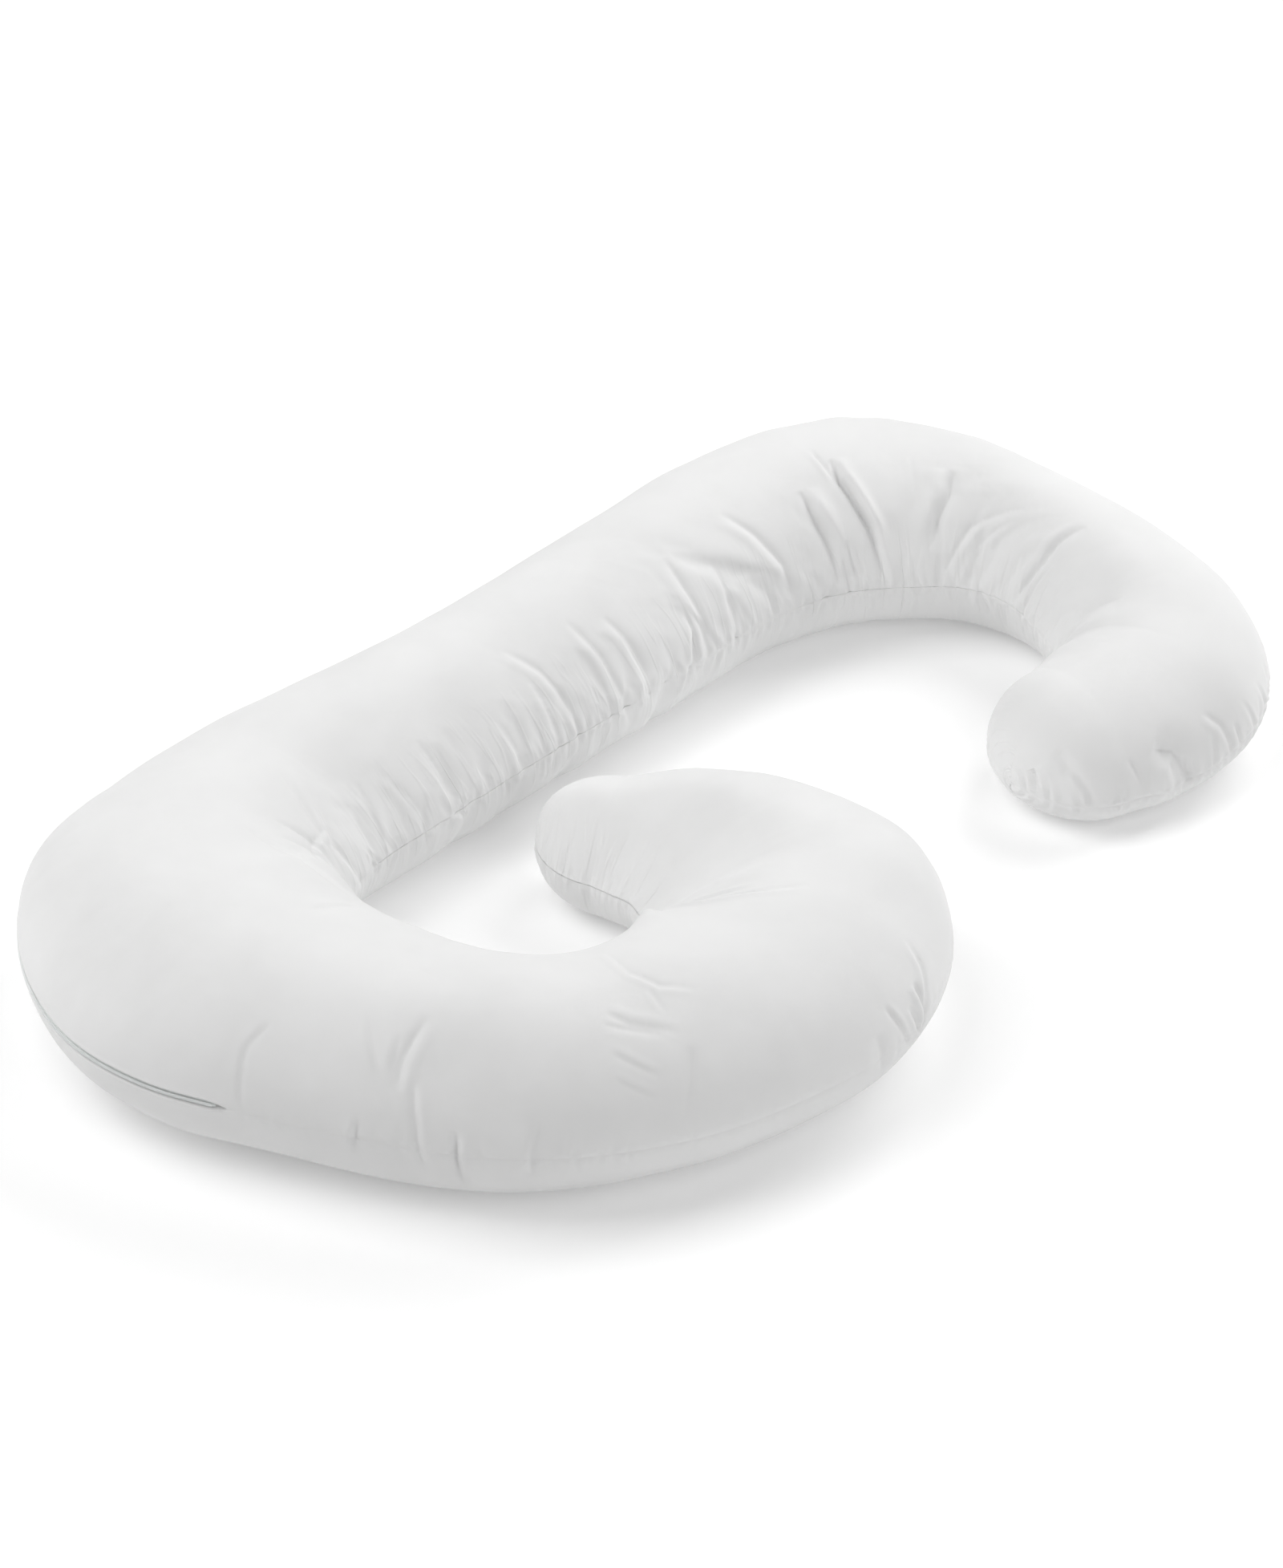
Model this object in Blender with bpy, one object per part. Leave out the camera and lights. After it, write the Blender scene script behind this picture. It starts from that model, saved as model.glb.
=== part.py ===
"""Body pillow: a C-shaped, fibre-filled pillow lying on its underside, with a zip in its outer seam.

Two cloth panels, one above and one below, are sewn together by one seam that runs all round at the
pillow's widest line. The pillow is one filled solid; the zip's two tapes and its closed coil are solids
of their own, which sit in a slot of the seam.

Frame: metres, +Z up, floor at z = 0, the straight spine runs along X, the open side of the C faces +Y.
"""
import math

import bpy
import numpy as np
from mathutils import Matrix

# Plan of the pillow. Each row is one cut across it: where the outer and the inner seam lie, how high the
# crown stands and how high the seam runs there, and how many rings the stretch up to the next row gets.
# "throat", "curl" and "hook" in place of inner_x mean that the inner seam turns round that notch.
STATIONS = (
    # name,            outer_x, outer_y, inner_x, inner_y, crown_z, seam_z, rings
    ("near tip",        -0.005, -0.063,   0.127, -0.003,   0.138,  0.066,  3),
    ("near neck",       -0.051,  0.005,   0.126,  0.028,   0.154,  0.070,  3),
    ("near lobe",       -0.085,  0.078,   0.127,  0.055,   0.168,  0.075,  4),
    ("curl turn 1",     -0.107,  0.164,   "curl",  None,   0.176,  0.078,  4),
    ("curl turn 2",     -0.105,  0.253,   "curl",  None,   0.181,  0.081,  4),
    ("curl turn 3",     -0.062,  0.330,   "curl",  None,   0.184,  0.082,  4),
    ("curl turn 4",      0.016,  0.387,   "curl",  None,   0.187,  0.083,  4),
    ("curl turn 5",      0.116,  0.418,   "curl",  None,   0.191,  0.084,  4),
    ("curl turn 6",      0.232,  0.413,   "curl",  None,   0.195,  0.086,  4),
    ("curl turn 7",      0.348,  0.382,   "curl",  None,   0.200,  0.088,  4),
    ("band 1",           0.450,  0.328,   0.215,  0.145,   0.204,  0.090,  4),
    ("band 2",           0.534,  0.248,   0.278,  0.145,   0.208,  0.092,  4),
    ("band 3",           0.600,  0.146,   0.326,  0.104,   0.212,  0.094,  4),
    ("band 4",           0.652,  0.037,   0.354,  0.030,   0.214,  0.095,  4),
    ("band 5",           0.691, -0.060,   0.365, -0.050,   0.214,  0.096,  4),
    ("big turn 1",       0.698, -0.160, "throat",  None,   0.213,  0.096,  4),
    ("big turn 2",       0.668, -0.252, "throat",  None,   0.210,  0.094,  4),
    ("big turn 3",       0.616, -0.331, "throat",  None,   0.207,  0.093,  4),
    ("big turn 4",       0.549, -0.389, "throat",  None,   0.204,  0.091,  4),
    ("big turn 5",       0.460, -0.413, "throat",  None,   0.201,  0.090,  4),
    ("spine 1",          0.350, -0.415,   0.276, -0.158,   0.197,  0.088,  5),
    ("spine 2",          0.219, -0.404,   0.150, -0.166,   0.194,  0.087,  7),
    ("spine 3",          0.075, -0.393,   0.015, -0.170,   0.192,  0.086,  7),
    ("spine 4",         -0.079, -0.391,  -0.115, -0.174,   0.190,  0.085,  9),
    ("spine 5",         -0.236, -0.395,  -0.235, -0.178,   0.189,  0.085, 10),
    ("spine 6",         -0.386, -0.400,  -0.337, -0.175,   0.189,  0.085, 10),
    ("far bend 1",      -0.515, -0.380,  -0.413, -0.151,   0.187,  0.084, 10),
    ("far bend 2",      -0.613, -0.313,  -0.468, -0.113,   0.184,  0.082,  9),
    ("far bend 3",      -0.672, -0.208,  -0.508, -0.075,   0.179,  0.080,  7),
    ("far side 1",      -0.692, -0.076,  -0.525, -0.035,   0.173,  0.077,  6),
    ("far side 2",      -0.699,  0.056,  -0.520,  0.020,   0.166,  0.073,  5),
    ("hook turn 1",     -0.682,  0.172,   "hook",  None,   0.160,  0.068,  4),
    ("hook turn 2",     -0.633,  0.256,   "hook",  None,   0.153,  0.062,  4),
    ("hook turn 3",     -0.563,  0.295,   "hook",  None,   0.147,  0.057,  3),
    ("far lobe",        -0.506,  0.300,  -0.472,  0.072,   0.143,  0.047,  3),
    ("far neck",        -0.451,  0.293,  -0.452,  0.075,   0.140,  0.042,  3),
    ("far tip",         -0.398,  0.277,  -0.432,  0.079,   0.137,  0.044,  1),
)
NOTCHES = {"curl": (0.152, 0.090), "throat": (0.334, -0.127), "hook": (-0.489, 0.067)}
NOTCH_RADIUS = 0.010
NEAR_TIP_LENGTH = 0.084
FAR_TIP_LENGTH = 0.088
TIP_RINGS = 6
TIP_FULLNESS = 0.85

# Where the points of a ring lie, as angles from the outer seam over the crown (90) to the inner seam (180)
# and back under the pillow (270). They crowd at the two seams.
RING_ANGLES = (0, 2.4, 3.4, 8, 18, 31, 45, 60, 75, 90, 105, 120, 135, 149, 162, 172, 177,
               180, 183, 188, 200, 216, 234, 250, 290, 306, 324, 342, 352, 356.6, 357.6)
SIDE_ROUNDING = 2.3      # how square the lower half is; 2 would be an ellipse
UNDERSIDE_SAG = 1.09     # the lower half reaches this far down before the floor flattens it

# Where the filling has slumped, the upper side slopes straighter from the crown to the inner seam, and the
# crown lies nearer the outer seam. A power of 1 is a round shoulder, and a shift of 1 is half the width.
SLUMPS = (
    # name,       from_row, to_row, power, shift
    ("near end",   -1.0,     8.0,    2.2,   0.00),
    ("near lobe",   1.0,     4.5,    1.0,   0.25),
    ("far arm",    20.5,    31.0,    1.5,   0.10),
)
SLUMP_BLEND = 1.5        # rows over which each one starts and ends

SEAM_DEPTH = 0.005
SEAM_REACH = 3.5         # degrees to either side that the seam draws in

# Zip: a slot in the outer seam, from one place along the pillow to another, counted in rows of STATIONS.
SLOT_START, SLOT_FULL_START = 13.0, 13.25
SLOT_FULL_END, SLOT_END = 17.25, 17.5
SLOT_DEPTH = 0.0050
SLOT_EDGE = 3.0          # degrees to either side that the slot's flat bottom reaches
TAPE_BACK = 0.0043       # from the seam's widest line in to the back of the tapes
TAPE_THICKNESS = 0.0008
TAPE_LOW, TAPE_HIGH = 0.0003, 0.0046
COIL_RADIUS = 0.0012
COIL_DEPTH = 0.0019
COIL_SIDES = 8

# Folds of the upper panel. Each runs from one place to another; a place is a row of STATIONS, with parts of
# a row, and an angle across the ring. Width and depth are those of the furrow at its deepest.
FOLDS = (
    # name,                 from_row, from_angle, to_row, to_angle, width, depth
    ("far bend deep fold",     26.10,  96,  26.52, 172,  0.013, 0.015),
    ("far bend second fold",   25.70, 122,  25.76, 172,  0.011, 0.008),
    ("far bend soft fold",     27.80, 106,  27.38, 155,  0.014, 0.008),
    ("far bend slanting fold", 28.80, 120,  27.67, 172,  0.013, 0.008),
    ("hook side fold",         29.85, 100,  29.40, 172,  0.012, 0.010),
    ("hook side short fold",   31.50, 142,  31.70, 113,  0.012, 0.004),
    ("spine fold 1",           24.88, 120,  25.10, 170,  0.014, 0.009),
    ("spine fold 2",           24.28, 132,  24.30, 172,  0.013, 0.006),
    ("spine fold 3",           23.84, 124,  23.90, 172,  0.014, 0.008),
    ("spine fold 4",           23.14, 133,  23.18, 172,  0.014, 0.006),
    ("spine fold 5",           22.78, 131,  22.82, 172,  0.015, 0.006),
    ("throat fold",            19.70, 108,  19.40, 150,  0.014, 0.006),
    ("curl long fold",          8.90, 108,   6.10,  84,  0.013, 0.008),
    ("curl short fold",        10.00, 100,   9.00,  66,  0.014, 0.006),
    ("band fold",              11.72,  62,  11.50,  12,  0.016, 0.006),
    ("right end fold",          6.15,  42,   6.45,  10,  0.014, 0.006),
)


def remove_everything():
    for item in list(bpy.data.objects):
        bpy.data.objects.remove(item, do_unlink=True)


def seam_points():
    """The table's rows as outer seam points and inner seam points."""
    outer, inner = [], []
    for _, outer_x, outer_y, inner_x, inner_y, _, _, _ in STATIONS:
        out = np.array((outer_x, outer_y))
        if inner_x in NOTCHES:
            notch = np.array(NOTCHES[inner_x])
            reach = out - notch
            inn = notch + NOTCH_RADIUS * reach / np.linalg.norm(reach)
        else:
            inn = np.array((inner_x, inner_y))
        outer.append(out)
        inner.append(inn)
    return np.array(outer), np.array(inner)


def smooth_curve(points, places):
    """A curve through the points. It slows down where they crowd, so that it never swings out there."""
    before = np.vstack((2 * points[:1] - points[1:2], points[:-1]))
    after = np.vstack((points[1:], 2 * points[-1:] - points[-2:-1]))
    step_in = points - before
    step_out = after - points
    size_in = np.linalg.norm(step_in, axis=1)[:, None]
    size_out = np.linalg.norm(step_out, axis=1)[:, None]
    heading = step_in / size_in * size_out + step_out / size_out * size_in
    heading /= np.linalg.norm(heading, axis=1)[:, None]
    slope = heading * np.minimum(size_in, size_out)
    row = np.clip(np.floor(places).astype(int), 0, len(points) - 2)
    part = (places - row)[:, None]
    return ((2 * part**3 - 3 * part**2 + 1) * points[row] + (part**3 - 2 * part**2 + part) * slope[row]
            + (3 * part**2 - 2 * part**3) * points[row + 1] + (part**3 - part**2) * slope[row + 1])


def ring_places():
    """Where the rings stand, counted in rows of STATIONS, without the two rounded ends."""
    places = []
    for row, station in enumerate(STATIONS[:-1]):
        rings = station[-1]
        places.extend(row + step / rings for step in range(rings))
    places.append(len(STATIONS) - 1.0)
    return np.array(places)


def tip_rings(outer, inner, length, side):
    """Rings that round off one end, from the pole to the last full ring."""
    middle, half = (outer + inner) / 2, (outer - inner) / 2
    ahead = np.array((half[1], -half[0])) * side / np.linalg.norm(half)
    turn = np.radians(np.linspace(0, 90, TIP_RINGS + 1)[1:-1])[:, None]
    centre = middle + ahead * length * np.cos(turn)
    reach = half * np.sin(turn)
    fullness = np.sin(turn[:, 0]) ** TIP_FULLNESS
    return centre + reach, centre - reach, fullness, middle + ahead * length


class Rings:
    """All cuts across the pillow, in order from the near tip to the far tip."""

    def __init__(self):
        places = ring_places()
        outer_rows, inner_rows = seam_points()
        outer, inner = smooth_curve(outer_rows, places), smooth_curve(inner_rows, places)
        rows = np.arange(len(STATIONS))
        crown = np.interp(places, rows, [station[5] for station in STATIONS])
        seam = np.interp(places, rows, [station[6] for station in STATIONS])
        near = tip_rings(outer[0], inner[0], NEAR_TIP_LENGTH, -1)
        far = tip_rings(outer[-1], inner[-1], FAR_TIP_LENGTH, 1)
        ends = TIP_RINGS - 1
        self.outer = np.vstack((near[0], outer, far[0][::-1]))
        self.inner = np.vstack((near[1], inner, far[1][::-1]))
        self.fullness = np.concatenate((near[2], np.ones(len(places)), far[2][::-1]))
        self.crown = np.concatenate((np.full(ends, crown[0]), crown, np.full(ends, crown[-1])))
        self.seam = np.concatenate((np.full(ends, seam[0]), seam, np.full(ends, seam[-1])))
        before = -np.linspace(1, 0, ends + 1)[:-1]
        self.places = np.concatenate((before, places, len(STATIONS) - 1 - before[::-1]))
        self.poles = (np.append(near[3], seam[0]), np.append(far[3], seam[-1]))

    def inward(self):
        """Unit steps from the outer seam towards the inner seam."""
        across = self.inner - self.outer
        return across / np.linalg.norm(across, axis=1)[:, None]

    def slump(self):
        """The power of the slope to the inner seam, and the shift of the crown, at each ring."""
        power, shift = np.ones(len(self.places)), np.zeros(len(self.places))
        for _, from_row, to_row, full_power, full_shift in SLUMPS:
            start = np.clip((self.places - from_row) / SLUMP_BLEND + 1, 0, 1)
            end = np.clip((to_row - self.places) / SLUMP_BLEND + 1, 0, 1)
            share = (start * end) ** 2 * (3 - 2 * start * end)
            power += (full_power - 1) * share
            shift += full_shift * share
        return power, shift

    def slot(self):
        """How far the zip's slot is open at each ring, from 0 to 1."""
        marks = (SLOT_START, SLOT_FULL_START, SLOT_FULL_END, SLOT_END)
        return np.interp(self.places, marks, (0, 1, 1, 0))


def surface_points(rings, angles):
    """Points of the smooth pillow, one row per ring and one column per angle."""
    turn = np.radians(angles)
    lateral, upward = np.cos(turn), np.sin(turn)
    above = upward >= 0
    power = 2 / SIDE_ROUNDING
    lateral = np.where(above, lateral, np.sign(lateral) * np.abs(lateral) ** power)
    upward = np.where(above, upward, -np.abs(upward) ** power * UNDERSIDE_SAG)
    middle, half = (rings.outer + rings.inner) / 2, (rings.outer - rings.inner) / 2
    slope, shift = rings.slump()
    lateral = lateral + np.where(above, upward**2, 0) * shift[:, None]
    plan = middle[:, None, :] + half[:, None, :] * lateral[..., None]
    rise = np.where(above[None, :], (rings.crown - rings.seam)[:, None], rings.seam[:, None])
    shoulder = (angles > 90) & (angles < 180)
    upward = np.where(shoulder, np.abs(upward) ** slope[:, None], upward)
    height = rings.seam[:, None] + rise * upward * rings.fullness[:, None]
    return np.concatenate((plan, np.maximum(height, 0)[..., None]), axis=2)


def draw_in_seam(points, rings, angles):
    """Pulls the seam line in all round, and opens the zip's slot in it."""
    from_outer = np.minimum(angles, 360 - angles)
    from_inner = np.abs(angles - 180)
    inward = rings.inward()
    slot = rings.slot()[:, None]
    seam_out = SEAM_DEPTH * np.clip(1 - from_outer / SEAM_REACH, 0, 1)[None, :]
    seam_in = SEAM_DEPTH * np.clip(1 - from_inner / SEAM_REACH, 0, 1)[None, :]
    slot_out = SLOT_DEPTH * (from_outer < SLOT_EDGE)[None, :]
    outer_pull = seam_out * (1 - slot) + slot_out * slot
    pull = (outer_pull - seam_in) * rings.fullness[:, None]
    points[..., :2] += inward[:, None, :] * pull[..., None]


def press_folds(points, rings, angles):
    """Presses the folds into the surface, each a furrow with a low ridge on both sides."""
    normals = np.cross(np.gradient(points, axis=0), np.gradient(points, axis=1))
    normals /= np.linalg.norm(normals, axis=2, keepdims=True) + 1e-12
    move = np.zeros(points.shape[:2])
    places = np.linspace(0, 1, 13)
    for _, from_row, from_angle, to_row, to_angle, width, depth in FOLDS:
        rows = from_row + (to_row - from_row) * places
        turns = from_angle + (to_angle - from_angle) * places
        line = np.array([place_on(points, rings, angles, row, turn) for row, turn in zip(rows, turns)])
        gap = np.linalg.norm(points[:, :, None, :] - line[None, None], axis=3)
        nearest = gap.argmin(axis=2)
        near = gap.min(axis=2) / width
        fade = np.sin(np.pi * np.clip(places[nearest], 0.06, 0.94)) ** 0.6
        furrow = np.exp(-near**2) - 0.45 * np.exp(-((near - 1.7) / 0.7) ** 2)
        move -= depth * fade * furrow
    outward = np.sign((normals[..., 2] * (points[..., 2] > rings.seam[:, None])).sum())
    points += normals * (outward * move)[..., None]


def place_on(points, rings, angles, row, turn):
    """The surface point at a place along the pillow and an angle across it."""
    order = np.argsort(angles)
    column = np.interp(turn, angles[order], order)
    ring = np.interp(row, rings.places, np.arange(len(rings.places)))
    low_ring, low_column = int(ring), int(column)
    high_ring, high_column = min(low_ring + 1, len(points) - 1), min(low_column + 1, points.shape[1] - 1)
    part_ring, part_column = ring - low_ring, column - low_column
    first = points[low_ring, low_column] * (1 - part_column) + points[low_ring, high_column] * part_column
    second = points[high_ring, low_column] * (1 - part_column) + points[high_ring, high_column] * part_column
    return first * (1 - part_ring) + second * part_ring


def add_object(name, points, faces, colour, roughness):
    mesh = bpy.data.meshes.new(name)
    mesh.from_pydata([tuple(point) for point in points], [], faces)
    mesh.validate()
    mesh.shade_smooth()
    mesh.set_sharp_from_angle(angle=math.radians(50))
    item = bpy.data.objects.new(name, mesh)
    bpy.context.scene.collection.objects.link(item)
    material = bpy.data.materials.new(name)
    material.use_nodes = True
    shader = material.node_tree.nodes["Principled BSDF"]
    shader.inputs["Base Color"].default_value = (*colour, 1)
    shader.inputs["Roughness"].default_value = roughness
    shader.inputs["Metallic"].default_value = 0
    mesh.materials.append(material)
    return item


def tube_faces(rings, sides):
    """Four-sided faces between neighbouring rings of a tube."""
    faces = []
    for ring in range(rings - 1):
        for side in range(sides):
            after = (side + 1) % sides
            faces.append((ring * sides + side, ring * sides + after,
                          (ring + 1) * sides + after, (ring + 1) * sides + side))
    return faces


def add_pillow(rings):
    angles = np.array(RING_ANGLES, float)
    points = surface_points(rings, angles)
    draw_in_seam(points, rings, angles)
    press_folds(points, rings, angles)
    count, sides = points.shape[:2]
    faces = tube_faces(count, sides)
    near_pole, far_pole = count * sides, count * sides + 1
    for side in range(sides):
        after = (side + 1) % sides
        faces.append((near_pole, after, side))
        faces.append((far_pole, (count - 1) * sides + side, (count - 1) * sides + after))
    every = np.vstack((points.reshape(-1, 3), rings.poles))
    add_object("pillow", every, faces, (0.90, 0.90, 0.89), 0.85)


def add_zip_strip(name, rings, outline, colour, roughness):
    """Sweeps a small outline, given as (depth, height) from the seam line, through the zip's rings."""
    inside = np.flatnonzero((rings.places >= SLOT_FULL_START) & (rings.places <= SLOT_FULL_END))
    inward = rings.inward()
    points = []
    for ring in inside:
        for depth, height in outline:
            plan = rings.outer[ring] + inward[ring] * depth
            points.append((plan[0], plan[1], rings.seam[ring] + height))
    sides = len(outline)
    faces = tube_faces(len(inside), sides)
    faces.append(tuple(reversed(range(sides))))
    faces.append(tuple(range(len(points) - sides, len(points))))
    add_object(name, points, faces, colour, roughness)


def add_zip(rings):
    front = TAPE_BACK - TAPE_THICKNESS
    upper = ((front, TAPE_LOW), (front, TAPE_HIGH), (TAPE_BACK, TAPE_HIGH), (TAPE_BACK, TAPE_LOW))
    lower = ((front, -TAPE_HIGH), (front, -TAPE_LOW), (TAPE_BACK, -TAPE_LOW), (TAPE_BACK, -TAPE_HIGH))
    turns = [-2 * math.pi * side / COIL_SIDES for side in range(COIL_SIDES)]
    coil = [(COIL_DEPTH + COIL_RADIUS * math.cos(turn), COIL_RADIUS * math.sin(turn)) for turn in turns]
    add_zip_strip("zip_tape_upper", rings, upper, (0.62, 0.65, 0.62), 0.8)
    add_zip_strip("zip_tape_lower", rings, lower, (0.62, 0.65, 0.62), 0.8)
    add_zip_strip("zip_coil", rings, coil, (0.60, 0.64, 0.61), 0.4)


def centre_on_pillow():
    """Moves everything so that the middle of the pillow's box stands over the origin."""
    points = np.array([point.co for point in bpy.data.objects["pillow"].data.vertices])
    middle = (points.min(axis=0) + points.max(axis=0)) / 2
    step = Matrix.Translation((-middle[0], -middle[1], 0))
    for item in bpy.data.objects:
        item.data.transform(step)


remove_everything()
all_rings = Rings()
add_pillow(all_rings)
add_zip(all_rings)
centre_on_pillow()
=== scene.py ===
import math

import bpy
import numpy as np
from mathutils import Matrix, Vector, noise
from mathutils.bvhtree import BVHTree
from mathutils.interpolate import poly_3d_calc
from mathutils.kdtree import KDTree


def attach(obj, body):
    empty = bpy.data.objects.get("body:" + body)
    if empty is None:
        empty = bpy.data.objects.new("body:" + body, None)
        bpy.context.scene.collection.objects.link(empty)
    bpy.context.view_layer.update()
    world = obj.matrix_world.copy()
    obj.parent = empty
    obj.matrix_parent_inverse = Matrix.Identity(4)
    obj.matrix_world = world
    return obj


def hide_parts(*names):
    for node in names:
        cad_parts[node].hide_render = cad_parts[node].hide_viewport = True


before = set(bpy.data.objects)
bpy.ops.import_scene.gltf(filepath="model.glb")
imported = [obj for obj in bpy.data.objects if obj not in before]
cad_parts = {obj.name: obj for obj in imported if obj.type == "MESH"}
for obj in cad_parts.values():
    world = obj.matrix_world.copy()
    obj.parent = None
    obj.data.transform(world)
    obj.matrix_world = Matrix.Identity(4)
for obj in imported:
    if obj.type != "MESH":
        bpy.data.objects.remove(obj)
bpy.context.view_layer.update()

bpy.ops.object.select_all(action="DESELECT")


# ---------------------------------------------------------------- studio
# A plain white floor under four large soft lights, with a pale room all round it. The pillow is seen from
# its curled end, from well above, through a long lens.
CAMERA_PLACE = (4.674, 4.619, 5.119)
CAMERA_AIM = (-0.095, -0.150, 0.0)
CAMERA_SEES = (0.1, 100.0)   # metres
LENS_MM = 184.1
SENSOR_MM = 36.0
LIGHTS_AIM = (0, 0, 0)
PURE_WHITE = (1, 1, 1, 1)
FLOOR_RADIUS = 30.0
FLOOR_SIDES = 96
FLOOR_WHITE = (0.84, 0.84, 0.84, 1)
FLOOR_GLOW = 0.187           # the paper's own light, so that it stays white away from the lamps
ROOM_STRENGTH = 0.19
SOFTBOXES = (
    # name,            place,                 side_m, watts
    ("back light",     (-3.52, 0.00, 2.47),   3.0,   123.0),
    ("left light",     (1.43, -1.43, 3.80),   3.0,    67.0),
    ("low left light", (2.49, -2.49, 2.47),   3.0,    69.0),
    ("right light",    (0.00, 3.52, 2.47),    3.0,    52.0),
)


def aim_at(item, target):
    reach = Vector(target) - item.location
    item.rotation_euler = reach.to_track_quat("-Z", "Y").to_euler()


lens = bpy.data.cameras.new("camera")
lens.lens = LENS_MM
lens.sensor_width = SENSOR_MM
lens.clip_start, lens.clip_end = CAMERA_SEES
camera = bpy.data.objects.new("camera", lens)
camera.location = CAMERA_PLACE
aim_at(camera, CAMERA_AIM)
bpy.context.scene.collection.objects.link(camera)
bpy.context.scene.camera = camera

for name, place, side, watts in SOFTBOXES:
    lamp = bpy.data.lights.new(name, "AREA")
    lamp.shape = "SQUARE"
    lamp.size = side
    lamp.energy = watts
    light = bpy.data.objects.new(name, lamp)
    light.location = place
    aim_at(light, LIGHTS_AIM)
    bpy.context.scene.collection.objects.link(light)

room = bpy.data.worlds.new("pale room")
room.use_nodes = True
backdrop = room.node_tree.nodes["Background"]
backdrop.inputs["Color"].default_value = PURE_WHITE
backdrop.inputs["Strength"].default_value = ROOM_STRENGTH
bpy.context.scene.world = room
bpy.context.scene.view_settings.view_transform = "Standard"

bpy.ops.mesh.primitive_circle_add(vertices=FLOOR_SIDES, radius=FLOOR_RADIUS, fill_type="NGON",
                                  location=(0, 0, 0))
floor = bpy.context.object
floor.name = "studio_floor"
paper = bpy.data.materials.new("floor paper")
paper.use_nodes = True
finish = paper.node_tree.nodes["Principled BSDF"].inputs
finish["Base Color"].default_value = FLOOR_WHITE
finish["Roughness"].default_value = 1.0
finish["Specular IOR Level"].default_value = 0.0
finish["Emission Color"].default_value = PURE_WHITE
finish["Emission Strength"].default_value = FLOOR_GLOW
floor.data.materials.append(paper)
floor.select_set(False)


# ---------------------------------------------------------------- pillow
# Two panels of white cotton, cut to the same C and sewn together by one seam all round, filled with
# fibre. The seam draws the cloth in and puckers it; the bends crease it towards their inner side.

# One row is one cut across the pillow, from the curled end to the hooked end: where the outer and the
# inner seam lie, how high the crown stands and how high the seam runs. "throat", "curl" and "hook" in
# place of inner_x mean that the inner seam turns round that notch.
CUTS = (
    # name,            outer_x, outer_y, inner_x, inner_y, crown_z, seam_z
    ("near tip",        -0.005, -0.063,   0.127, -0.003,   0.138,  0.066),
    ("near neck",       -0.051,  0.005,   0.126,  0.028,   0.154,  0.070),
    ("near lobe",       -0.085,  0.078,   0.127,  0.055,   0.168,  0.075),
    ("curl turn 1",     -0.107,  0.164,   "curl",  None,   0.176,  0.078),
    ("curl turn 2",     -0.105,  0.253,   "curl",  None,   0.181,  0.081),
    ("curl turn 3",     -0.062,  0.330,   "curl",  None,   0.184,  0.082),
    ("curl turn 4",      0.016,  0.387,   "curl",  None,   0.187,  0.083),
    ("curl turn 5",      0.116,  0.418,   "curl",  None,   0.191,  0.084),
    ("curl turn 6",      0.232,  0.413,   "curl",  None,   0.195,  0.086),
    ("curl turn 7",      0.348,  0.382,   "curl",  None,   0.200,  0.088),
    ("band 1",           0.450,  0.328,   0.215,  0.145,   0.204,  0.090),
    ("band 2",           0.534,  0.248,   0.278,  0.145,   0.208,  0.092),
    ("band 3",           0.600,  0.146,   0.326,  0.104,   0.212,  0.094),
    ("band 4",           0.652,  0.037,   0.354,  0.030,   0.214,  0.095),
    ("band 5",           0.691, -0.060,   0.365, -0.050,   0.214,  0.096),
    ("big turn 1",       0.698, -0.160, "throat",  None,   0.213,  0.096),
    ("big turn 2",       0.668, -0.252, "throat",  None,   0.210,  0.094),
    ("big turn 3",       0.616, -0.331, "throat",  None,   0.207,  0.093),
    ("big turn 4",       0.549, -0.389, "throat",  None,   0.204,  0.091),
    ("big turn 5",       0.460, -0.413, "throat",  None,   0.201,  0.090),
    ("spine 1",          0.350, -0.415,   0.276, -0.158,   0.197,  0.088),
    ("spine 2",          0.219, -0.404,   0.150, -0.166,   0.194,  0.087),
    ("spine 3",          0.075, -0.393,   0.015, -0.170,   0.192,  0.086),
    ("spine 4",         -0.079, -0.391,  -0.115, -0.174,   0.190,  0.085),
    ("spine 5",         -0.236, -0.395,  -0.235, -0.178,   0.189,  0.085),
    ("spine 6",         -0.386, -0.400,  -0.337, -0.175,   0.189,  0.085),
    ("far bend 1",      -0.515, -0.380,  -0.413, -0.151,   0.187,  0.084),
    ("far bend 2",      -0.613, -0.313,  -0.468, -0.113,   0.184,  0.082),
    ("far bend 3",      -0.672, -0.208,  -0.508, -0.075,   0.179,  0.080),
    ("far side 1",      -0.692, -0.076,  -0.525, -0.035,   0.173,  0.077),
    ("far side 2",      -0.699,  0.056,  -0.520,  0.020,   0.166,  0.073),
    ("hook turn 1",     -0.682,  0.172,   "hook",  None,   0.160,  0.068),
    ("hook turn 2",     -0.633,  0.256,   "hook",  None,   0.153,  0.062),
    ("hook turn 3",     -0.563,  0.295,   "hook",  None,   0.147,  0.057),
    ("far lobe",        -0.506,  0.300,  -0.472,  0.072,   0.143,  0.047),
    ("far neck",        -0.451,  0.293,  -0.452,  0.075,   0.140,  0.042),
    ("far tip",         -0.398,  0.277,  -0.432,  0.079,   0.137,  0.044),
)
NOTCHES = {"curl": (0.152, 0.090), "throat": (0.334, -0.127), "hook": (-0.489, 0.067)}
NOTCH_RADIUS = 0.010
TABLE_TO_FRAME = np.array((-0.0004, -0.0019, 0.0))
NEAR_TIP_LENGTH = 0.084
FAR_TIP_LENGTH = 0.088
TIP_RINGS = 36
TIP_FULLNESS = 0.85
RING_STEP = 0.0030       # between neighbouring rings, along the longer seam
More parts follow.
